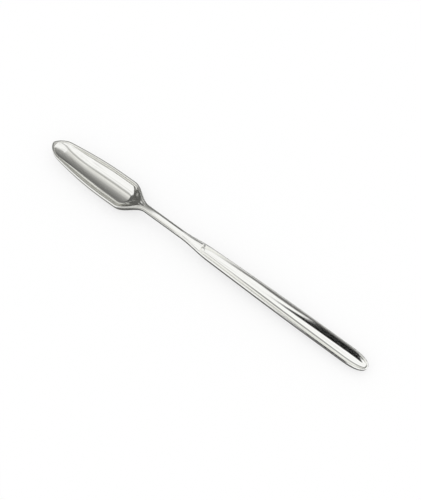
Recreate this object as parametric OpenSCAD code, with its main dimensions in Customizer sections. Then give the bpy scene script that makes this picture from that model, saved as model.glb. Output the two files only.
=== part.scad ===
// Marrow scoop with two ends, in solid silver: a wide bowl, a slim stem and a narrow channelled scoop.
// The three workpieces meet in two scarf joints, and a film of hard solder fills each joint.
// Millimetres. X runs from the bowl tip to the scoop tip, Z is up, and the table is at Z nought.
// Places along the tool are measured from the bowl tip.

/* [Wide bowl] */
// Length from the tip to the neck, where the shoulders end
bowl_l = 71; // [66:0.5:80]
// Greatest width over the rims
bowl_w = 20; // [16:0.5:24]
// Width that the sides taper to at the tip, before its rounding
bowl_tip_w = 11.2; // [8:0.2:14]
// Length of the rounding at the tip
bowl_tip_r = 8.2; // [6:0.2:12]
// Distance from the tip to the widest place, where the belly is at its full depth
belly_at = 45; // [38:0.5:50]
// Height from the belly to the rim
bowl_d = 7.5; // [6:0.1:9]
// Width of the rim
bowl_rim = 1.3; // [0.8:0.05:1.6]
// Fall of the rim's top towards the hollow, for each millimetre of its width
bowl_rim_slope = 0.15; // [0:0.01:0.3]
// Thickness of the metal under the hollow
bowl_wall = 1.6; // [1:0.1:2]
// Thickness of the metal at the tip
bowl_tip_t = 0.8; // [0.5:0.1:1.2]
// Rise of the rim from the belly to the tip
bowl_lift = 1; // [0:0.1:2]
// Length of the shoulders, which sweep in to the neck
shoulder_l = 17; // [12:0.5:20]
// Length of the slope at the heel, up which the hollow runs out
heel_l = 14; // [12:0.5:20]
// Distance from the end of the hollow to the neck
heel_gap = 0.5; // [0.5:0.5:4]
// Distance by which that slope starts sooner at the sides than in the middle
heel_round = 5; // [0:0.5:8]

/* [Stem] */
// Length from the neck to the start of the scoop's flare
stem_l = 25.6; // [16:0.2:50]
// Width of the bar
stem_w = 4.7; // [3.6:0.1:6]
// Height from the underside to the edges of the top
stem_d = 3.4; // [2.6:0.1:4.4]
// Rise of the rounded top above its edges
stem_crown = 0.45; // [0.2:0.05:0.8]
// Height of the stem's edges above the table, at the neck
stem_z = 8.9; // [8:0.1:11]

/* [Narrow scoop] */
// Length from the start of the flare to the tip
scoop_l = 128.4; // [110:0.2:150]
// Length of the flare, which widens the bar to the scoop
flare_l = 22; // [14:0.5:30]
// Width over the rims where the flare ends
scoop_w = 7.8; // [6.8:0.1:9.4]
// Greatest width over the rims
scoop_end_w = 10; // [9.4:0.1:12]
// Length over which the scoop goes on widening after its flare
widening_l = 76; // [40:1:90]
// Height from the back to the rim
scoop_d = 5.3; // [4.8:0.1:7]
// Length of the rounding at the tip, seen from above
scoop_tip_r = 14; // [8:0.5:18]
// Length over which the back rises to the tip
scoop_back_r = 12; // [8:0.5:16]
// Distance from the start of the flare to the start of the channel
groove_gap = 14; // [10:0.5:20]
// Depth of the channel
groove_d = 2.95; // [2:0.05:3.2]
// Length over which the channel sinks to its depth at its start
groove_start_l = 2; // [1:0.5:6]
// Rounding of the corners at the channel's start
groove_corner = 0.6; // [0.4:0.1:2]
// Width of the rim beside the channel's start
scoop_rim = 0.92; // [0.8:0.02:1.6]
// Width of the rim at the tip
scoop_end_rim = 0.82; // [0.7:0.02:1.4]
// Rise of the top from the outer edges to the middle at the tip, before the channel is cut
scoop_crown = 0.9; // [0.3:0.05:1.2]

/* [Edges] */
// Rounding of the outer edge of the bowl's rim
bowl_round = 0.8; // [0.2:0.05:1]
// Rounding of the stem's edges
stem_round = 1; // [0.4:0.1:1.1]
// Rounding of the outer edge of the scoop's rim
scoop_round = 0.48; // [0.2:0.02:0.6]
// Rounding of the inner edge of the bowl's rim
bowl_inner_round = 0.4; // [0.1:0.05:0.4]
// Rounding of the edges of the channel
groove_round = 0.25; // [0.1:0.05:0.3]

/* [Joints and rests] */
// Length of a scarf joint for each millimetre of its height
scarf_ratio = 1.6; // [1:0.1:2.5]
// Thickness of the solder film
solder_t = 0.12; // [0.08:0.01:0.3]
// Plain bar left between a scarf joint and the curves beside it
joint_margin = 0.6; // [0.3:0.1:1.5]
// Depth of the flats worn on the belly and on the scoop's back
rest_cut = 0.15; // [0.08:0.01:0.3]

/* [Hidden] */

// Places along the tool
neck_at = bowl_l;
shoulder_at = neck_at - shoulder_l;
heel_at = neck_at - heel_gap - heel_l;
flare_at = neck_at + stem_l;
groove_at = flare_at + groove_gap;
groove_full_at = groove_at + groove_start_l;
overall_l = flare_at + scoop_l;
scoop_rest_at = overall_l - scoop_back_r;
scarf_l = scarf_ratio * (stem_d + stem_crown);
bowl_joint_at = neck_at + joint_margin + scarf_l / 2;
scoop_joint_at = flare_at - joint_margin - scarf_l / 2;

// Length of a solder film along the tool
film_l = solder_t * sqrt(1 + scarf_ratio * scarf_ratio);

// Curve shapes: two is an ellipse, and more is squarer
ellipse = 2;
bowl_tip_shape = 1.8;
scoop_tip_shape = 2.4;
bowl_back_shape = 2.4;
scoop_back_shape = 2.5;
bottom_shape = 3.3;
hollow_shape = 1.77;
groove_shape = 1.8;
groove_end_shape = 2.7;
groove_start_shape = 2.6;

// Widest rim, as a share of the half width
rim_limit = 0.6;
// Length over which the curved start of the channel fades into the straight sides
fade_l = 20;
// Distance over which the slope of the outline is measured
slope_step = 0.001;
// Depth of the block that cuts the flats
under_t = 5;

// Steps round the back, round each edge, across the top and along each stretch
back_n = 28;
round_n = 3;
top_n = 24;
tip_n = 12;
belly_n = 14;
heel_n = 16;
flare_n = 10;
groove_start_n = 8;
groove_n = 14;
right_angle = 90;
half_turn = 180;
rim_n = 2 * round_n;
ring_n = back_n + top_n + 2 * rim_n + 2;

// Share of a length, kept from nought to one
function share(part, whole) = min(max(part / whole, 0), 1);

// Gentle rise from nought to one
function ease(t) = (1 - cos(half_turn * t)) / 2;

// Rounded end: nought at its point and one from its full length on
function nose(t, shape) = pow(1 - pow(1 - t, shape), 1 / shape);

function blend(a, b, t) = a + (b - a) * t;

function signed_pow(base, power) = sign(base) * pow(abs(base), power);

function shoulder(at) = ease(share(at - shoulder_at, shoulder_l));

function flare(at) = ease(share(at - flare_at, flare_l));

// Half widths in plan
function bowl_half(at) = blend(bowl_tip_w, bowl_w, sin(right_angle * share(at, belly_at))) / 2;

function widening(at) =
    (scoop_end_w - scoop_w) * sin(right_angle * share(at - flare_at - flare_l, widening_l));

function bar_half(at) = (blend(stem_w, scoop_w, flare(at)) + widening(at)) / 2;

function side_half(at) = blend(bowl_half(at), bar_half(at), shoulder(at));

function bowl_nose(at) = nose(share(at, bowl_tip_r), bowl_tip_shape);

function scoop_nose(at) = nose(share(overall_l - at, scoop_tip_r), scoop_tip_shape);

function half_width(at) = side_half(at) * bowl_nose(at) * scoop_nose(at);

// Height of the top's outer edges
function bowl_rim_z(at) = bowl_d - rest_cut + bowl_lift * pow(1 - share(at, belly_at), ellipse);

function bar_z(at) = blend(stem_z, scoop_d - rest_cut, (at - neck_at) / (scoop_rest_at - neck_at));

function edge_z(at) = blend(bowl_rim_z(at), bar_z(at), shoulder(at));

function crown(at) =
    blend(stem_crown, scoop_crown, share(at - flare_at, scoop_rest_at - flare_at))
    * shoulder(at)
    * scoop_nose(at);

function crown_z(at, y) = half_width(at) > 0 ? crown(at) * (1 - pow(y / half_width(at), ellipse)) : 0;

// Depth of the back below those edges
function bottom(at) = 1 - pow(1 - share(at, belly_at), bottom_shape);

function bowl_depth(at) =
    blend(bowl_tip_t * nose(share(at, bowl_tip_t), ellipse), bowl_d, bottom(at));

function bar_depth(at) =
    blend(stem_d, scoop_d, flare(at)) * nose(share(overall_l - at, scoop_back_r), ellipse);

function depth(at) = blend(bowl_depth(at), bar_depth(at), ease(share(at - heel_at, neck_at - heel_at)));

function back_shape(at) = blend(bowl_back_shape, scoop_back_shape, shoulder(at));

// Rounding of the edges, and width of the rims
function hollow_round(at) = blend(bowl_inner_round, groove_round, shoulder(at));

function bar_round(at) = blend(stem_round, scoop_round, ease(share(at - flare_at, groove_gap)));

function edge_round(at) =
    min(blend(bowl_round, bar_round(at), shoulder(at)), rim_limit * side_half(at) - hollow_round(at));

function edge_drop(at) = min(edge_round(at), depth(at) / 2);

function along_groove(at) = share(at - groove_at, overall_l - groove_at);

function plain_rim_w(at) =
    blend(bowl_rim, blend(scoop_rim, scoop_end_rim, along_groove(at)), shoulder(at));

function rim_w(at) =
    max(min(plain_rim_w(at), rim_limit * side_half(at)), edge_round(at) + hollow_round(at));

function rim_fall(at, inset) = bowl_rim_slope * (1 - shoulder(at)) * inset;

// Depth of the bowl's hollow and of the channel, at a share v of the half width inside the rims
function heel(at, v) = ease(share(at + heel_round * v * v - heel_at, heel_l));

function bowl_hollow(at, v) = (bowl_d - bowl_wall) * bottom(at) * (1 - heel(at, v));

function groove(at) = groove_d * nose(share(at - groove_at, groove_start_l), ellipse) * scoop_nose(at);

function channel_shape(at) = blend(groove_shape, groove_end_shape, along_groove(at));

function hollow(at, v) = at < neck_at ? bowl_hollow(at, v) : groove(at);

function profile(at, v) =
    at < neck_at ? nose(1 - abs(v), hollow_shape) : 1 - pow(abs(v), channel_shape(at));

// Direction into the tool from its right edge, in plan
function slope(at) = (half_width(at + slope_step) - half_width(at - slope_step)) / (2 * slope_step);

function at_tip(at) = at <= 0 || at >= overall_l;

function in_along(at) = at_tip(at) ? sign(overall_l / 2 - at) : slope(at) / sqrt(1 + pow(slope(at), 2));

function in_across(at) = at_tip(at) ? 0 : 1 / sqrt(1 + pow(slope(at), 2));

// Rounding of the hollow's edge, and the angle that its wall turns through there
function inner_round(at) = min(hollow_round(at), hollow(at, 0) / 2);

function wall_turn(at) = at < neck_at
    ? right_angle
    : atan2(channel_shape(at) * groove(at), half_width(at) - rim_w(at) * in_across(at));

// Step over a rim: distance in from the outer edge, and drop below the top
function rim_step(at, j) = j <= round_n
    ? outer_step(at, right_angle * j / round_n)
    : inner_step(at, wall_turn(at) * (j - round_n - 1) / round_n);

function outer_step(at, turn) = [edge_round(at) * (1 - cos(turn)), edge_drop(at) * (1 - sin(turn))];

function inner_step(at, turn) =
    [rim_w(at) - inner_round(at) * (1 - sin(turn)), inner_round(at) * (1 - cos(turn))];

// Shift along the tool that rounds the corners of the channel's start
function start_shift(at) = groove_corner * (1 - ease(share(abs(at - groove_at), fade_l)));

function start_bend(v) = 1 - nose(1 - abs(v), groove_start_shape);

// Points on the back, from the left edge to the right, on a rim, and on the top, from right to left
function back_point(at, turn) = [
    at - overall_l / 2,
    -half_width(at) * signed_pow(cos(turn), ellipse / back_shape(at)),
    edge_z(at) - blend(edge_drop(at), depth(at), pow(sin(turn), ellipse / back_shape(at)))
];

function rim_point(at, j, side) =
    let(
        step = rim_step(at, j),
        y = half_width(at) - step.x * in_across(at),
        bend = start_shift(at) * pow(step.x / rim_w(at), ellipse),
        drop = step.y + rim_fall(at, step.x)
    )
    [at + step.x * in_along(at) + bend - overall_l / 2, side * y, edge_z(at) + crown_z(at, y) - drop];

function top_point(at, v) =
    let(
        step = rim_step(at, rim_n + 1),
        y = (half_width(at) - step.x * in_across(at)) * v,
        bend = start_shift(at) * start_bend(v),
        drop = step.y + rim_fall(at, step.x),
        sunk = drop + max(hollow(at, v) - drop, 0) * profile(at, v)
    )
    [at + step.x * in_along(at) + bend - overall_l / 2, y, edge_z(at) + crown_z(at, y) - sunk];

// Step over the rim that a place on a ring belongs to: nought is the back, and the last is the top
function ring_step(i) =
    i <= back_n ? 0
    : i <= back_n + rim_n ? i - back_n
    : i <= back_n + rim_n + top_n + 1 ? rim_n + 1
    : ring_n - i;

function ring_point(at, i) =
    ring_step(i) == 0 ? back_point(at, half_turn * i / back_n)
    : ring_step(i) > rim_n ? top_point(at, cos(half_turn * (i - back_n - rim_n - 1) / top_n))
    : rim_point(at, ring_step(i), i <= back_n + rim_n ? 1 : -1);

function ring(at) = [for (i = [0 : ring_n - 1]) ring_point(at, i)];

// Ring on the sloping plane of a scarf joint
function scarf_x(at, lean, z) = at + lean * (z - bar_z(at) + (stem_d - stem_crown) / 2);

function scarf_point(at, lean, p) = [scarf_x(at, lean, p.z) - overall_l / 2, p.y, p.z];

function scarf_ring(at, lean) = [
    for (i = [0 : ring_n - 1])
        scarf_point(at, lean, ring_point(scarf_x(at, lean, ring_point(at, i).z), i))
];

// Places of the rings along each stretch, closer together towards a tip or the channel's start
bowl_tip_places = [for (i = [1 : tip_n]) bowl_tip_r * (1 - cos(right_angle * i / tip_n))];
belly_places = [for (i = [1 : belly_n]) blend(bowl_tip_r, heel_at, i / belly_n)];
heel_places = [for (i = [1 : heel_n]) blend(heel_at, neck_at, i / heel_n)];
bowl_places = concat(bowl_tip_places, belly_places, heel_places);

flare_places = [for (i = [0 : flare_n]) blend(flare_at, groove_at, i / flare_n)];
groove_start_places = [
    for (i = [1 : groove_start_n])
        groove_at + groove_start_l * (1 - cos(right_angle * i / groove_start_n))
];
groove_places = [for (i = [1 : groove_n]) blend(groove_full_at, scoop_rest_at, i / groove_n)];
scoop_tip_places = [for (i = [1 : tip_n - 1]) scoop_rest_at + scoop_back_r * sin(right_angle * i / tip_n)];
scoop_places = concat(flare_places, groove_start_places, groove_places, scoop_tip_places);

// Row of points over the rim at each tip, where both sides meet
function tip_row(at) = [for (i = [back_n : back_n + rim_n + 1]) ring_point(at, i)];

bowl_tip = tip_row(0);
scoop_tip = tip_row(overall_l);

// Solid through a row of rings, each end flat or closed on the row of points of a tip
module loft(rings, first_tip, last_tip) {
    last = len(rings) - 1;
    start = len(first_tip);
    finish = start + ring_n * len(rings);
    points = concat(first_tip, [for (r = rings) each r], last_tip);

    function corner(row, i) = start + ring_n * row + i % ring_n;
    function first_end(i) = ring_step(i % ring_n);
    function last_end(i) = finish + first_end(i);

    sides = [
        for (row = [0 : last - 1], i = [0 : ring_n - 1])
            each [
                [corner(row, i), corner(row + 1, i), corner(row + 1, i + 1)],
                [corner(row, i), corner(row + 1, i + 1), corner(row, i + 1)]
            ]
    ];
    first_cap = start == 0
        ? [[for (i = [0 : ring_n - 1]) corner(0, i)]]
        : [
            for (i = [0 : ring_n - 1])
                each first_end(i) == first_end(i + 1)
                    ? [[first_end(i), corner(0, i), corner(0, i + 1)]]
                    : [
                        [first_end(i), corner(0, i), corner(0, i + 1)],
                        [first_end(i), corner(0, i + 1), first_end(i + 1)]
                    ]
        ];
    last_cap = len(last_tip) == 0
        ? [[for (i = [ring_n - 1 : -1 : 0]) corner(last, i)]]
        : [
            for (i = [0 : ring_n - 1])
                each last_end(i) == last_end(i + 1)
                    ? [[last_end(i), corner(last, i + 1), corner(last, i)]]
                    : [
                        [last_end(i), corner(last, i + 1), corner(last, i)],
                        [last_end(i), last_end(i + 1), corner(last, i + 1)]
                    ]
        ];
    polyhedron(points, concat(sides, first_cap, last_cap));
}

// Everything below the table, which cuts the worn flats
module below_table() {
    translate([-overall_l / 2, -bowl_w, -under_t])
        cube([overall_l, 2 * bowl_w, under_t]);
}

module wide_bowl() {
    rings = [for (at = bowl_places) ring(at)];
    joint = scarf_ring(bowl_joint_at - film_l / 2, -scarf_ratio);
    color("silver")
        difference() {
            loft(concat(rings, [joint]), bowl_tip, []);
            below_table();
        }
}

module bowl_solder() {
    color("gainsboro")
        loft([
            scarf_ring(bowl_joint_at - film_l / 2, -scarf_ratio),
            scarf_ring(bowl_joint_at + film_l / 2, -scarf_ratio)
        ], [], []);
}

module stem() {
    color("silver")
        loft([
            scarf_ring(bowl_joint_at + film_l / 2, -scarf_ratio),
            scarf_ring(scoop_joint_at - film_l / 2, scarf_ratio)
        ], [], []);
}

module scoop_solder() {
    color("gainsboro")
        loft([
            scarf_ring(scoop_joint_at - film_l / 2, scarf_ratio),
            scarf_ring(scoop_joint_at + film_l / 2, scarf_ratio)
        ], [], []);
}

module narrow_scoop() {
    rings = [for (at = scoop_places) ring(at)];
    joint = scarf_ring(scoop_joint_at + film_l / 2, scarf_ratio);
    color("silver")
        difference() {
            loft(concat([joint], rings), [], scoop_tip);
            below_table();
        }
}

wide_bowl();
bowl_solder();
stem();
scoop_solder();
narrow_scoop();
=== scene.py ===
"""Looks of the marrow scoop: polished, lightly worn silver lying on a pale studio floor."""

import math

import bmesh
import bpy
import numpy as np
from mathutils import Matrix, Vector


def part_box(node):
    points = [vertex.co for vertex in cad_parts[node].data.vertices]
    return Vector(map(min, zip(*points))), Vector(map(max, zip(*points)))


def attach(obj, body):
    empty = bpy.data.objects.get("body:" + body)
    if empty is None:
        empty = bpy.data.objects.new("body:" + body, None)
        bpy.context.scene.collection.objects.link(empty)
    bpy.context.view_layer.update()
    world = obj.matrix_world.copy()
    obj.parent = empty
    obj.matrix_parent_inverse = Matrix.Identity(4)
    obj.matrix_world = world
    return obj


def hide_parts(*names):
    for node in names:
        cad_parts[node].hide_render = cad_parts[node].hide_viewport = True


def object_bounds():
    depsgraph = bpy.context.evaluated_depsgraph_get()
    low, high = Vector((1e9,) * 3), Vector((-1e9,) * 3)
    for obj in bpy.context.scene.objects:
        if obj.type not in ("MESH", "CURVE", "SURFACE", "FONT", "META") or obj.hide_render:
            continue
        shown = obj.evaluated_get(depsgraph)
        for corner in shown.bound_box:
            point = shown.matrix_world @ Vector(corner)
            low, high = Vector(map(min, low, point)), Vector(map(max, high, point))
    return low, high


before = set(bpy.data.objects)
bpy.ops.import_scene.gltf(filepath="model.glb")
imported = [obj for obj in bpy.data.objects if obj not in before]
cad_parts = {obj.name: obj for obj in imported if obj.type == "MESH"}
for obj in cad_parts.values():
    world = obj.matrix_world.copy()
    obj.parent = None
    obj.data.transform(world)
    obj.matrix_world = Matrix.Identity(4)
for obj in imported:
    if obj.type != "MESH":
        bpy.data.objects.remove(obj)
cad_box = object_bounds()

# Units: the shape is worked out in millimetres, as the solids are, and meshes are made in metres
MM = 0.001


def span(node, axis):
    """Size of a CAD node along one axis, in millimetres."""
    low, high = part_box(node)
    return (high[axis] - low[axis]) / MM


# Sizes read from the frame
OVERALL_L = (cad_box[1].x - cad_box[0].x) / MM
BOWL_W = span("wide_bowl", 1)
SCOOP_END_W = span("narrow_scoop", 1)
STEM_W = span("stem", 1)

# Wide bowl
BOWL_L = 71.0
BOWL_TIP_W = 11.2
BOWL_TIP_R = 8.2
BELLY_AT = 45.0
BOWL_D = 7.5
BOWL_RIM = 1.3
BOWL_RIM_SLOPE = 0.15
BOWL_WALL = 1.6
BOWL_LIFT = 1.0
SHOULDER_L = 17.0
BOWL_TIP_T = 0.8
HEEL_L = 14.0
HEEL_GAP = 0.5
HEEL_ROUND = 5.0

# Stem, whose crown is a hundredth lower than the solid's, so that this finer mesh stays inside its box
STEM_L = 25.6
STEM_D = 3.4
STEM_CROWN = 0.44
STEM_Z = 8.9

# Narrow scoop
FLARE_L = 22.0
SCOOP_W = 7.8
WIDENING_L = 76.0
SCOOP_D = 5.3
SCOOP_TIP_R = 14.0
SCOOP_BACK_R = 12.0
GROOVE_GAP = 14.0
GROOVE_D = 2.95
GROOVE_START_L = 2.0
GROOVE_CORNER = 0.6
SCOOP_CROWN = 0.9
SCOOP_RIM = 0.92
SCOOP_END_RIM = 0.82

# Joints and rests
SCARF_RATIO = 1.6
SOLDER_T = 0.12
JOINT_MARGIN = 0.6
REST_CUT = 0.15

# Rounding that use has left on the edges
BOWL_ROUND = 0.8
STEM_ROUND = 1.0
SCOOP_ROUND = 0.48
BOWL_INNER_ROUND = 0.4
GROOVE_ROUND = 0.25

# Curve shapes: two is an ellipse, and more is squarer
ELLIPSE = 2.0
BOWL_TIP_SHAPE = 1.8
SCOOP_TIP_SHAPE = 2.4
BOTTOM_SHAPE = 3.3
HOLLOW_SHAPE = 1.77
BOWL_BACK_SHAPE = 2.4
SCOOP_BACK_SHAPE = 2.5
GROOVE_SHAPE = 1.8
GROOVE_END_SHAPE = 2.7
GROOVE_START_SHAPE = 2.6

# Widest share of the half width that a rim takes
RIM_LIMIT = 0.6

# Distance from the channel's start within which sections bend to round its corners
FADE_L = 20.0

# Places along the tool, from the bowl tip
NECK_AT = BOWL_L
SHOULDER_AT = NECK_AT - SHOULDER_L
HEEL_AT = NECK_AT - HEEL_GAP - HEEL_L
FLARE_AT = NECK_AT + STEM_L
GROOVE_AT = FLARE_AT + GROOVE_GAP
SCOOP_REST_AT = OVERALL_L - SCOOP_BACK_R
SCARF_L = SCARF_RATIO * (STEM_D + STEM_CROWN)
BOWL_JOINT_AT = NECK_AT + JOINT_MARGIN + SCARF_L / 2
SCOOP_JOINT_AT = FLARE_AT - JOINT_MARGIN - SCARF_L / 2
SOLDER_L = SOLDER_T * math.hypot(1, SCARF_RATIO)

# Mesh steps round the back, round each edge and across the top
BACK_N = 72
ROUND_N = 6
TOP_N = 72

# Sections along each stretch of the tool
TIP_N = 40
BELLY_N = 50
HEEL_N = 48
STEM_N = 24
ROOT_N = 24
START_N = 24
CHANNEL_N = 90

# Least half width, step over which a slope is measured, and distance in metres at which points are merged
TINY = 1e-6
SLOPE_STEP = 1e-4
MERGE_M = 1e-8

# Which points of a section lie on its two rims, where use wears the metal most
ON_RIM = np.concatenate([
    np.zeros(BACK_N + 1),
    np.ones(2 * ROUND_N),
    np.zeros(TOP_N + 1),
    np.ones(2 * ROUND_N),
])

# Marks on the metal: their length along the tool and their width across it, in millimetres
FILM_MARK = (26.0, 9.0)
STREAK_MARK = (70.0, 0.9)
POLISH_MARK = (45.0, 0.6)
WAVE_MARK = (34.0, 8.0)
SCRATCH_MARK = (9.0, 0.07)

# Turns of the scratches from the tool's length, in degrees
SCRATCH_TURNS = (8, -23, 61)

# Depths of the marks that are in the metal itself, in millimetres
WAVE_DEPTH = 0.03
POLISH_DEPTH = 0.0025
SCRATCH_DEPTH = 0.001

# Levels of the noise between which each mark goes from nothing to full
FILM_LEVELS = (0.35, 0.75)
STREAK_LEVELS = (0.46, 0.74)
POLISH_LEVELS = (0.3, 0.7)
SCRATCH_LEVELS = (0.69, 0.74)

# Strength of the broad film beside the streaks, and the share of both that stays on the worn rims
FILM_SHARE = 0.2
RIM_FILM = 0.2

# Roughness of the polishing lines and what each mark adds to it, as shares of the metal's own roughness
POLISH_ROUGH = (0.85, 1.2)
FILM_ROUGH = 0.25
RIM_ROUGH = 0.3
SCRATCH_ROUGH = 2.5

# Colours of each metal where it is clean and where it is dull, and its roughness
SILVER_CLEAN = (0.945, 0.946, 0.92)
SILVER_DULL = (0.78, 0.777, 0.745)
SILVER_ROUGH = 0.085
SOLDER_CLEAN = (0.91, 0.905, 0.87)
SOLDER_DULL = (0.75, 0.743, 0.705)
SOLDER_ROUGH = 0.13

# Studio: white light, a slightly warm tint on the cards, and the cells along each side of a card
WHITE = (1, 1, 1, 1)
CARD_TINT = (1, 0.995, 0.965, 1)
CARD_CELLS = 90


def share(part, whole):
    """Part of a whole, kept between nought and one."""
    return np.clip(part / whole, 0.0, 1.0)


def ease(t):
    """Way from nought to one that starts and ends gently."""
    return (1 - np.cos(np.pi * t)) / 2


def nose(t, shape):
    """Rounded end: nought at its point and one from its full length on."""
    return (1 - (1 - t) ** shape) ** (1 / shape)


def blend(a, b, t):
    """Value that is a share t of the way from a to b."""
    return a + (b - a) * t


def shoulder(at):
    """Share of the way from the bowl to the bar."""
    return ease(share(at - SHOULDER_AT, SHOULDER_L))


def flare(at):
    """Share of the way from the stem to the scoop."""
    return ease(share(at - FLARE_AT, FLARE_L))


def side_half(at):
    """Half width between the sides, before either tip is rounded."""
    bowl = blend(BOWL_TIP_W, BOWL_W, np.sin(np.pi / 2 * share(at, BELLY_AT))) / 2
    widening = (SCOOP_END_W - SCOOP_W) * np.sin(np.pi / 2 * share(at - FLARE_AT - FLARE_L, WIDENING_L))
    bar = (blend(STEM_W, SCOOP_W, flare(at)) + widening) / 2
    return blend(bowl, bar, shoulder(at))


def scoop_nose(at):
    """Rounding of the scoop's tip, as a share of the width."""
    return nose(share(OVERALL_L - at, SCOOP_TIP_R), SCOOP_TIP_SHAPE)


def half_width(at):
    """Half width of the tool, with both tips rounded."""
    return side_half(at) * nose(share(at, BOWL_TIP_R), BOWL_TIP_SHAPE) * scoop_nose(at)


def bar_z(at):
    """Height of the edges of the stem and the scoop, which slope down to the scoop's rest."""
    return blend(STEM_Z, SCOOP_D - REST_CUT, (at - NECK_AT) / (SCOOP_REST_AT - NECK_AT))


def edge_z(at):
    """Height of the tool's edges."""
    bowl = BOWL_D - REST_CUT + BOWL_LIFT * (1 - share(at, BELLY_AT)) ** ELLIPSE
    return blend(bowl, bar_z(at), shoulder(at))


def crown(at):
    """Rise of the top from its edges to its middle."""
    along = share(at - FLARE_AT, SCOOP_REST_AT - FLARE_AT)
    return blend(STEM_CROWN, SCOOP_CROWN, along) * shoulder(at) * scoop_nose(at)


def bottom(at):
    """Fall of the bowl's bottom from its tip to its belly, as a share."""
    return 1 - (1 - share(at, BELLY_AT)) ** BOTTOM_SHAPE


def depth(at):
    """Height from the back to the edges."""
    bowl = blend(BOWL_TIP_T * nose(share(at, BOWL_TIP_T), ELLIPSE), BOWL_D, bottom(at))
    bar = blend(STEM_D, SCOOP_D, flare(at)) * nose(share(OVERALL_L - at, SCOOP_BACK_R), ELLIPSE)
    return blend(bowl, bar, ease(share(at - HEEL_AT, NECK_AT - HEEL_AT)))


def along_groove(at):
    """Share of the way along the channel."""
    return share(at - GROOVE_AT, OVERALL_L - GROOVE_AT)


def groove_shape(at):
    """Curve shape of the channel's section."""
    return blend(GROOVE_SHAPE, GROOVE_END_SHAPE, along_groove(at))


def hollow_round(at):
    """Rounding between a rim and the hollow inside it."""
    return blend(BOWL_INNER_ROUND, GROOVE_ROUND, shoulder(at))


def edge_round(at):
    """Rounding of the outer edges."""
    bar = blend(STEM_ROUND, SCOOP_ROUND, ease(share(at - FLARE_AT, GROOVE_GAP)))
    return np.minimum(blend(BOWL_ROUND, bar, shoulder(at)), RIM_LIMIT * side_half(at) - hollow_round(at))


def rim_w(at):
    """Width of each rim, with its rounded edges."""
    wide = blend(BOWL_RIM, blend(SCOOP_RIM, SCOOP_END_RIM, along_groove(at)), shoulder(at))
    return np.maximum(np.minimum(wide, RIM_LIMIT * side_half(at)), edge_round(at) + hollow_round(at))


def hollow_depth(at, v):
    """Depth of the bowl's hollow or of the channel, where v is the share of the way to its side."""
    heel = ease(share(at + HEEL_ROUND * v ** 2 - HEEL_AT, HEEL_L))
    bowl = (BOWL_D - BOWL_WALL) * bottom(at) * (1 - heel)
    groove = GROOVE_D * nose(share(at - GROOVE_AT, GROOVE_START_L), ELLIPSE) * scoop_nose(at)
    return np.where(at < NECK_AT, bowl, groove)


def inward(at):
    """Unit direction into the tool from its right edge, in plan, as (along, across)."""
    low = np.maximum(at - SLOPE_STEP, 0.0)
    high = np.minimum(at + SLOPE_STEP, OVERALL_L)
    slope = (half_width(high) - half_width(low)) / (high - low)
    length = np.hypot(slope, 1.0)
    along = np.where(at <= 0, 1.0, np.where(at >= OVERALL_L, -1.0, slope / length))
    across = np.where((at <= 0) | (at >= OVERALL_L), 0.0, 1.0 / length)
    return along, across


def ring(at):
    """Closed section of the tool at one place: the back, the right rim, the hollow and the left rim."""
    at = np.asarray(at, float)
    half = half_width(at)
    z_edge = edge_z(at)
    along, across = inward(at)
    width = rim_w(at)
    sunk = hollow_depth(at, 0)
    in_bowl = at < NECK_AT
    outer_drop = np.minimum(edge_round(at), depth(at) / 2)
    hollow_half = np.maximum(half - width * across, TINY)
    wall_turn = np.where(in_bowl, np.pi / 2, np.arctan(groove_shape(at) * sunk / hollow_half))
    inner_round = np.minimum(hollow_round(at), sunk / 2)
    start_fade = GROOVE_CORNER * (1 - ease(share(abs(at - GROOVE_AT), FADE_L)))

    turn = np.linspace(0, np.pi, BACK_N + 1)
    power = ELLIPSE / blend(BOWL_BACK_SHAPE, SCOOP_BACK_SHAPE, shoulder(at))
    back_y = -half * np.sign(np.cos(turn)) * abs(np.cos(turn)) ** power
    back_z = z_edge - outer_drop - (depth(at) - outer_drop) * np.clip(np.sin(turn), 0, 1) ** power
    back = np.stack([np.full_like(turn, at), back_y, np.maximum(back_z, 0.0)], -1)

    quarter = np.linspace(0, np.pi / 2, ROUND_N + 1)
    inner_turn = np.linspace(0, wall_turn, ROUND_N + 1)
    rim_in = np.concatenate([
        edge_round(at) * (1 - np.cos(quarter)),
        width - inner_round * (1 - np.sin(inner_turn)),
    ])
    rim_drop = np.concatenate([outer_drop * (1 - np.sin(quarter)), inner_round * (1 - np.cos(inner_turn))])
    rim_drop += BOWL_RIM_SLOPE * (1 - shoulder(at)) * rim_in
    inner_w = rim_in[-1]
    inner_drop = rim_drop[-1]
    rim_in = rim_in[1:-1]
    rim_drop = rim_drop[1:-1]
    rim_x = at + rim_in * along + start_fade * (rim_in / width) ** 2
    rim_y = half - rim_in * across
    rim_z = z_edge + crown(at) * (1 - (rim_y / max(half, TINY)) ** 2) - rim_drop
    right = np.stack([rim_x, rim_y, rim_z], -1)

    v = np.cos(np.linspace(0, np.pi, TOP_N + 1))
    inner = half - inner_w * across
    profile = np.where(in_bowl, nose(1 - abs(v), HOLLOW_SHAPE), 1 - abs(v) ** groove_shape(at))
    bend = start_fade * (1 - nose(1 - abs(v), GROOVE_START_SHAPE))
    top_x = at + inner_w * along + bend
    top_y = inner * v
    top_z = z_edge + crown(at) * (1 - (top_y / max(half, TINY)) ** 2)
    top_z = top_z - inner_drop - np.maximum(hollow_depth(at, v) - inner_drop, 0) * profile
    top = np.stack([top_x, top_y, top_z], -1)

    left = right[::-1] * [1, -1, 1]
    return np.concatenate([back, right, top, left])


def scarf_ring(at, lean):
    """Section on the sloping plane of a scarf joint."""
    middle = bar_z(at) - (STEM_D - STEM_CROWN) / 2
    points = ring(at)
    points[:, 2] += (bar_z(at + 1) - bar_z(at)) * lean * (points[:, 2] - middle)
    points[:, 0] = at + lean * (points[:, 2] - middle)
    return points


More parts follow.
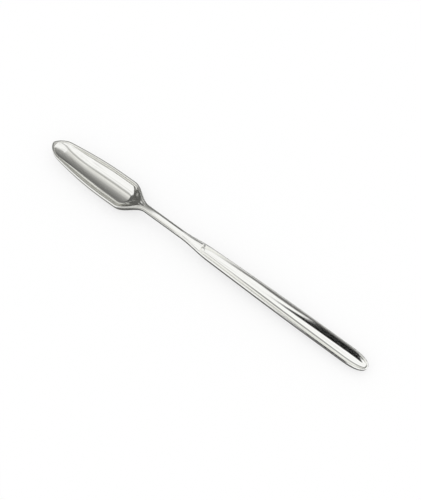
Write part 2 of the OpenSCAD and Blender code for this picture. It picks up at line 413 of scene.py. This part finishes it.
def label(mesh, name, values):
    """Give each point of a mesh a number that a material can read."""
    layer = mesh.attributes.new(name, "FLOAT", "POINT")
    layer.data.foreach_set("value", np.broadcast_to(values, len(mesh.vertices)).astype(np.float32))


def loft(name, rings):
    """Mesh piece through a row of rings, with flat ends where a ring isn't a tip."""
    points = np.stack(rings)
    points[..., 0] -= OVERALL_L / 2
    rows, count = points.shape[:2]
    index = np.arange(rows * count).reshape(rows, count)
    following = np.roll(index, -1, axis=1)
    quads = np.stack([index[:-1], index[1:], following[1:], following[:-1]], -1).reshape(-1, 4)
    mesh = bpy.data.meshes.new(name)
    mesh.from_pydata((points.reshape(-1, 3) * MM).tolist(), [], quads[:, ::-1].tolist())
    label(mesh, "rim", np.tile(ON_RIM, rows))

    bm = bmesh.new()
    bm.from_mesh(mesh)
    bmesh.ops.remove_doubles(bm, verts=bm.verts, dist=MERGE_M)
    for face in bm.faces:
        face.smooth = True
    ends = [edge for edge in bm.edges if edge.is_boundary]
    for edge in ends:
        edge.smooth = False
    bmesh.ops.holes_fill(bm, edges=ends)
    bmesh.ops.recalc_face_normals(bm, faces=bm.faces)
    bm.to_mesh(mesh)
    bm.free()
    piece = bpy.data.objects.new(name, mesh)
    bpy.context.scene.collection.objects.link(piece)
    return piece


def towards_tip(length, count):
    """Distances from a tip, closer together towards it."""
    return length * (1 - np.cos(np.linspace(0, np.pi / 2, count)))


def bowl_rings():
    """Sections from the bowl's tip to the neck."""
    tip = towards_tip(BOWL_TIP_R, TIP_N)
    belly = np.linspace(BOWL_TIP_R, HEEL_AT, BELLY_N)[1:]
    heel = np.linspace(HEEL_AT, NECK_AT, HEEL_N)[1:]
    return [ring(at) for at in np.concatenate([tip, belly, heel])]


def scoop_rings():
    """Sections from the flare to the scoop's tip."""
    root = np.linspace(FLARE_AT, GROOVE_AT, ROOT_N)
    start = GROOVE_AT + towards_tip(GROOVE_START_L, START_N)[1:]
    channel = np.linspace(GROOVE_AT + GROOVE_START_L, SCOOP_REST_AT, CHANNEL_N)[1:]
    tip = OVERALL_L - towards_tip(SCOOP_BACK_R, TIP_N)[::-1][1:]
    return [ring(at) for at in np.concatenate([root, start, channel, tip])]


def make_pieces():
    """The five pieces, each standing for its CAD node."""
    bowl_end = scarf_ring(BOWL_JOINT_AT - SOLDER_L / 2, -SCARF_RATIO)
    stem_start = scarf_ring(BOWL_JOINT_AT + SOLDER_L / 2, -SCARF_RATIO)
    stem_end = scarf_ring(SCOOP_JOINT_AT - SOLDER_L / 2, SCARF_RATIO)
    scoop_start = scarf_ring(SCOOP_JOINT_AT + SOLDER_L / 2, SCARF_RATIO)
    rows = {
        "wide_bowl": [*bowl_rings(), bowl_end],
        "bowl_solder": [bowl_end, stem_start],
        "stem": [blend(stem_start, stem_end, t) for t in np.linspace(0, 1, STEM_N)],
        "scoop_solder": [stem_end, scoop_start],
        "narrow_scoop": [scoop_start, *scoop_rings()],
    }
    pieces = {}
    for node, rings in rows.items():
        piece = loft(node + "_metal", rings)
        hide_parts(node)
        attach(piece, "root")
        pieces[node] = piece
    return pieces


def add(tree, kind, inputs, **settings):
    """New node with its settings made, and each input given a value or joined to another node's output."""
    node = tree.nodes.new("ShaderNode" + kind)
    for name, value in settings.items():
        setattr(node, name, value)
    for name, value in inputs.items():
        if isinstance(value, bpy.types.NodeSocket):
            tree.links.new(value, node.inputs[name])
        else:
            node.inputs[name].default_value = value
    return node


def grain(tree, mark, detail, turn=0.0):
    """Noise whose marks have a length and a width in millimetres, turned from the tool's length."""
    along, across = mark
    place = add(tree, "TexCoord", {})
    rotation = (0, 0, math.radians(turn))
    turned = add(tree, "Mapping", {"Vector": place.outputs["Object"], "Rotation": rotation})
    scale = (1 / (along * MM), 1 / (across * MM), 1 / (across * MM))
    sized = add(tree, "Mapping", {"Vector": turned.outputs["Vector"], "Scale": scale})
    noise = add(tree, "TexNoise", {"Vector": sized.outputs["Vector"], "Scale": 1.0, "Detail": detail})
    return noise.outputs["Fac"]


def ranged(tree, value, low, high, new_low=0.0, new_high=1.0):
    """Value between two limits, moved to two others."""
    inputs = {"Value": value, "From Min": low, "From Max": high, "To Min": new_low, "To Max": new_high}
    return add(tree, "MapRange", inputs).outputs["Result"]


def math_node(tree, operation, a, b):
    """Result of an operation on two values."""
    return add(tree, "Math", {0: a, 1: b}, operation=operation).outputs["Value"]


def bumped(tree, height, deep, normal=None):
    """Normal over marks that are so many millimetres deep, on top of another normal."""
    inputs = {"Height": height, "Distance": deep * MM}
    if normal:
        inputs["Normal"] = normal
    return add(tree, "Bump", inputs).outputs["Normal"]


def scratches(tree):
    """Fine scratches of use in three directions, broken into short marks."""
    marks = None
    for turn in SCRATCH_TURNS:
        line = ranged(tree, grain(tree, SCRATCH_MARK, detail=1.0, turn=turn), *SCRATCH_LEVELS)
        marks = math_node(tree, "MAXIMUM", marks, line) if marks else line
    return marks


def metal_material(name, clean, dull, own_rough):
    """Polished metal: uneven film, dull streaks, polishing lines, scratches and clean, worn rims."""
    material = bpy.data.materials.new(name)
    material.use_nodes = True
    tree = material.node_tree
    shader = tree.nodes["Principled BSDF"]

    rim = add(tree, "Attribute", {}, attribute_name="rim").outputs["Fac"]
    film = ranged(tree, grain(tree, FILM_MARK, detail=4.0), *FILM_LEVELS, 0.0, FILM_SHARE)
    streak = ranged(tree, grain(tree, STREAK_MARK, detail=2.0), *STREAK_LEVELS)
    film = math_node(tree, "MAXIMUM", film, streak)
    film = math_node(tree, "MULTIPLY", film, ranged(tree, rim, 0, 1, 1.0, RIM_FILM))
    tone = add(tree, "ValToRGB", {"Fac": film})
    tone.color_ramp.elements[0].color = (*clean, 1)
    tone.color_ramp.elements[1].color = (*dull, 1)

    lines = grain(tree, POLISH_MARK, detail=3.0)
    scratch = scratches(tree)
    smoothest, roughest = POLISH_ROUGH
    roughness = ranged(tree, lines, *POLISH_LEVELS, smoothest * own_rough, roughest * own_rough)
    for mark, rougher in ((film, FILM_ROUGH), (rim, RIM_ROUGH), (scratch, SCRATCH_ROUGH)):
        more = math_node(tree, "MULTIPLY", mark, rougher * own_rough)
        roughness = math_node(tree, "ADD", roughness, more)

    normal = bumped(tree, grain(tree, WAVE_MARK, detail=1.0), WAVE_DEPTH)
    normal = bumped(tree, lines, POLISH_DEPTH, normal)
    normal = bumped(tree, math_node(tree, "SUBTRACT", 1.0, scratch), SCRATCH_DEPTH, normal)

    shader.inputs["Metallic"].default_value = 1.0
    tree.links.new(tone.outputs["Color"], shader.inputs["Base Color"])
    tree.links.new(roughness, shader.inputs["Roughness"])
    tree.links.new(normal, shader.inputs["Normal"])
    return material


def dress(pieces):
    """Give the pieces their metals."""
    silver = metal_material("polished_silver", SILVER_CLEAN, SILVER_DULL, SILVER_ROUGH)
    solder = metal_material("silver_solder", SOLDER_CLEAN, SOLDER_DULL, SOLDER_ROUGH)
    for node, piece in pieces.items():
        piece.data.materials.append(solder if "solder" in node else silver)


def make_camera():
    """Camera at the photograph's viewing angle."""
    azimuth = math.radians(38.28)
    elevation = math.radians(64.0)
    distance = 0.7
    focal_px = 1241.0
    image_h = 500
    target = Vector((2.3, 3.06, 5.0)) * MM
    back = Vector((
        math.sin(azimuth) * math.cos(elevation),
        -math.cos(azimuth) * math.cos(elevation),
        math.sin(elevation),
    ))
    data = bpy.data.cameras.new("camera")
    data.lens = focal_px * data.sensor_width / image_h
    camera = bpy.data.objects.new("camera", data)
    camera.location = target + back * distance
    camera.rotation_euler = (-back).to_track_quat("-Z", "Y").to_euler()
    bpy.context.scene.collection.objects.link(camera)
    bpy.context.scene.camera = camera


def make_world():
    """Even white light from all round."""
    world = bpy.data.worlds.new("white_room")
    world.use_nodes = True
    world.node_tree.nodes["Background"].inputs["Color"].default_value = WHITE
    bpy.context.scene.world = world


def flat_mesh(name, corner, side_a, side_b, count):
    """Flat grid of count by count cells from a corner and two sides, and its points in millimetres."""
    steps = np.linspace(0, 1, count + 1)
    a, b = np.meshgrid(steps, steps, indexing="ij")
    points = np.array(corner) + a.reshape(-1, 1) * np.array(side_a) + b.reshape(-1, 1) * np.array(side_b)
    index = np.arange((count + 1) ** 2).reshape(count + 1, count + 1)
    quads = np.stack([index[:-1, :-1], index[1:, :-1], index[1:, 1:], index[:-1, 1:]], -1).reshape(-1, 4)
    mesh = bpy.data.meshes.new(name)
    mesh.from_pydata((points * MM).tolist(), [], quads.tolist())
    item = bpy.data.objects.new(name, mesh)
    bpy.context.scene.collection.objects.link(item)
    return item, points.T


def make_floor():
    """Pale floor that is white to the camera and in the metal, and keeps the tool's shadow."""
    half = 3000.0
    floor_z = -0.02
    paint = 0.34
    floor, _ = flat_mesh("floor", (-half, -half, floor_z), (2 * half, 0, 0), (0, 2 * half, 0), count=1)
    material = bpy.data.materials.new("pale_floor")
    material.use_nodes = True
    tree = material.node_tree
    tree.nodes.clear()
    rays = add(tree, "LightPath", {}).outputs
    seen = math_node(tree, "MAXIMUM", rays["Is Camera Ray"], rays["Is Glossy Ray"])
    seen = math_node(tree, "MAXIMUM", seen, rays["Is Transmission Ray"])
    glow = add(tree, "Emission", {"Strength": math_node(tree, "MULTIPLY", seen, 1 - paint)})
    diffuse = add(tree, "BsdfDiffuse", {"Color": (paint, paint, paint, 1)})
    both = add(tree, "AddShader", {0: diffuse.outputs["BSDF"], 1: glow.outputs["Emission"]})
    add(tree, "OutputMaterial", {"Surface": both.outputs["Shader"]})
    floor.data.materials.append(material)


def card_material():
    """Card that shows its own glow where it covers, and what lies behind where it doesn't."""
    material = bpy.data.materials.new("studio_card")
    material.use_nodes = True
    tree = material.node_tree
    tree.nodes.clear()
    glow = add(tree, "Attribute", {}, attribute_name="glow").outputs["Fac"]
    cover = add(tree, "Attribute", {}, attribute_name="cover").outputs["Fac"]
    clear = add(tree, "BsdfTransparent", {})
    light = add(tree, "Emission", {"Color": CARD_TINT, "Strength": glow})
    mix = add(tree, "MixShader", {0: cover, 1: clear.outputs["BSDF"], 2: light.outputs["Emission"]})
    add(tree, "OutputMaterial", {"Surface": mix.outputs["Shader"]})
    return material


def make_card(shade, corner, side_a, side_b, material):
    """Flat card that only the metal's reflections see. Its shade gives its glow and how far it covers."""
    card, points = flat_mesh(shade.__name__, corner, side_a, side_b, CARD_CELLS)
    glow, cover = shade(*points)
    label(card.data, "glow", glow)
    label(card.data, "cover", cover)
    card.data.materials.append(material)
    card.visible_camera = False
    card.visible_diffuse = False
    card.visible_shadow = False
    card.visible_transmission = False


def soft(t, start, end):
    """Smooth rise from nought at start to one at end, or fall where end comes first."""
    t = np.clip((t - start) / (end - start), 0, 1)
    return t * t * (3 - 2 * t)


def below(z, top, blur):
    """One under a card's top and nought over it, blurred by a share of its height."""
    return soft(z, (1 + blur) * top, (1 - blur) * top)


def falling(y, dim, more, start, length):
    """Glow that falls away to dim from a line along the tool."""
    return dim + more * np.exp(-np.maximum(y - start, 0) / length)


def bowl_panel(x, y, z):
    """Bright over the bowl's near side, and darker towards the far side and the left."""
    left_glow = 0.12
    left_fade = (-152, -134)
    near_fade = (-36, -27)
    border_y = (10, 60)
    border_x = (-86, -68)
    border_blur = 7
    glow = falling(y, dim=0.16, more=0.72, start=-6, length=47)
    glow = blend(left_glow, glow, soft(x, *left_fade))
    right = np.interp(y, border_y, border_x)
    return glow, soft(y, *near_fade) * soft(x, right + border_blur, right - border_blur)


def neck_panel(x, y, z):
    """Low panel over the neck, bright on its near side and darker towards the far side."""
    near_fade = (-12, -6)
    far_fade = (80, 60)
    left_fade = (-72, -66)
    right_fade = (-47, -54)
    glow = falling(y, dim=0.14, more=0.7, start=-5, length=20)
    cover = soft(y, *near_fade) * soft(y, *far_fade) * soft(x, *left_fade) * soft(x, *right_fade)
    return glow, cover


def panel_edge(x, y, z):
    """Dim strip along the panel's near edge, which draws the line down the middle of the bowl."""
    dim = 0.15
    densest = 0.6
    middle = -23
    half = 9
    right_fade = (-44, -60)
    strip = np.exp(-((y - middle) / half) ** 2)
    return dim, densest * strip * soft(x, *right_fade)


def far_card(x, y, z):
    """Card beyond the tool: dark behind the stem, with a lighter gap beside the channel's start."""
    slope_at = -90
    slope_l = 160
    left_top = 300
    right_top = 175
    left_glow = 0.3
    dark_glow = 0.1
    dark_fade = (-165, -135)
    right_more = 0.26
    gap_glow = 0.55
    gap_start = (-72, -60)
    gap_end = (-22, -36)
    right = share(x - slope_at, slope_l)
    glow = blend(left_glow, dark_glow, soft(x, *dark_fade)) + right_more * right
    gap = soft(x, *gap_start) * soft(x, *gap_end)
    return blend(glow, gap_glow, gap), below(z, blend(left_top, right_top, right), blur=0.13)


def left_card(x, y, z):
    """Dark card past the bowl's tip, which the heel mirrors."""
    dim = 0.12
    more_above = 0.5
    rise = (128, 320)
    top_fade = (320, 256)
    near_fade = (-100, -60)
    return dim + more_above * soft(z, *rise), soft(z, *top_fade) * soft(y, *near_fade)


def near_flag(x, y, z):
    """Black card that the channel's far wall mirrors towards the tip. Its left border leans."""
    black = 0.01
    border_z = (118, 163, 208)
    border_x = (46, 35, 17)
    border_blur = (0.8, 3, 10)
    right_fade = (96, 92)
    top_fade = (276, 253)
    side = np.interp(z, border_z, border_x)
    blur = np.interp(z, border_z, border_blur)
    return black, soft(x, side - blur, side + blur) * soft(x, *right_fade) * soft(z, *top_fade)


def near_grey(x, y, z):
    """Grey card close to the tool on the near side, which the bowl's heel mirrors."""
    low_glow = 0.2
    high_glow = 0.9
    foot_z = 15
    rise_l = 50
    left_fade = (-64, -58)
    right_fade = (-26, -38)
    top_fade = (102, 89)
    glow = blend(low_glow, high_glow, share(z - foot_z, rise_l))
    return glow, soft(x, *left_fade) * soft(x, *right_fade) * soft(z, *top_fade)


def near_low(x, y, z):
    """Low dark card that the channel's far rim and the near edges mirror, taller beside the channel."""
    dark = 0.16
    low_top = 60
    high_top = 98
    high_start = (-4, 16)
    high_end = (42, 30)
    left_fade = (-60, 0)
    top = blend(low_top, high_top, soft(x, *high_start) * soft(x, *high_end))
    return dark, soft(x, *left_fade) * below(z, top, blur=0.12)


def right_card(x, y, z):
    """Dark card past the scoop's tip, which the far corner of the channel's start mirrors."""
    dark = 0.02
    foot_fade = (5, 25)
    top_fade = (170, 127)
    far_fade = (-60, -110)
    return dark, soft(z, *foot_fade) * soft(z, *top_fade) * soft(y, *far_fade)


def painted_floor_shadow(x, y, z):
    """Painted shadow: floor darkened close round the tool, seen only in the metal's reflections, so that
    its undersides mirror a shadow.
    """
    end_fade = (190, 133)
    side_fade = (80, 56)
    bowl_near_glow = 0.36
    bowl_far_glow = 0.8
    bowl_fade = (-5, 25)
    bar_glow = 0.12
    bar_side_glow = 0.55
    bar_fade = (7, 48)
    neck_fade = (-75, -50)
    # Painted shadow: darkest under the bar and the bowl's near side, lighter further from the tool
    bowl_painted_shadow = blend(bowl_near_glow, bowl_far_glow, soft(y, *bowl_fade))
    bar_painted_shadow = blend(bar_glow, bar_side_glow, soft(abs(y), *bar_fade))
    cover = soft(abs(x), *end_fade) * soft(abs(y), *side_fade)
    return blend(bowl_painted_shadow, bar_painted_shadow, soft(x, *neck_fade)), cover


def make_cards():
    """Cards round the tool, in millimetres, which give the polished metal its contrast."""
    material = card_material()
    # Each card's shade, one corner and two sides
    cards = (
        (bowl_panel, (-450, -36, 100), (390, 0, 0), (0, 225, 0)),
        (neck_panel, (-75, -15, 50), (30, 0, 0), (0, 100, 0)),
        (panel_edge, (-450, -44, 99), (430, 0, 0), (0, 42, 0)),
        (far_card, (-450, 220, 0), (610, 0, 0), (0, 0, 340)),
        (left_card, (-320, -400, 0), (0, 650, 0), (0, 0, 320)),
        (near_flag, (0, -200, 50), (100, 0, 0), (0, 190, 226)),
        (near_grey, (-64, -60, 15), (40, 0, 0), (0, 72, 87)),
        (near_low, (-200, -200, 0), (330, 0, 0), (0, 0, 125)),
        (right_card, (330, -400, 0), (0, 350, 0), (0, 0, 170)),
        # Painted floor shadow, which only the metal's reflections see
        (painted_floor_shadow, (-190, -80, 0.05), (380, 0, 0), (0, 160, 0)),
    )
    for shade, corner, side_a, side_b in cards:
        make_card(shade, corner, side_a, side_b, material)


pieces = make_pieces()
dress(pieces)
make_camera()
make_world()
make_floor()
make_cards()
bpy.context.scene.view_settings.view_transform = "Standard"
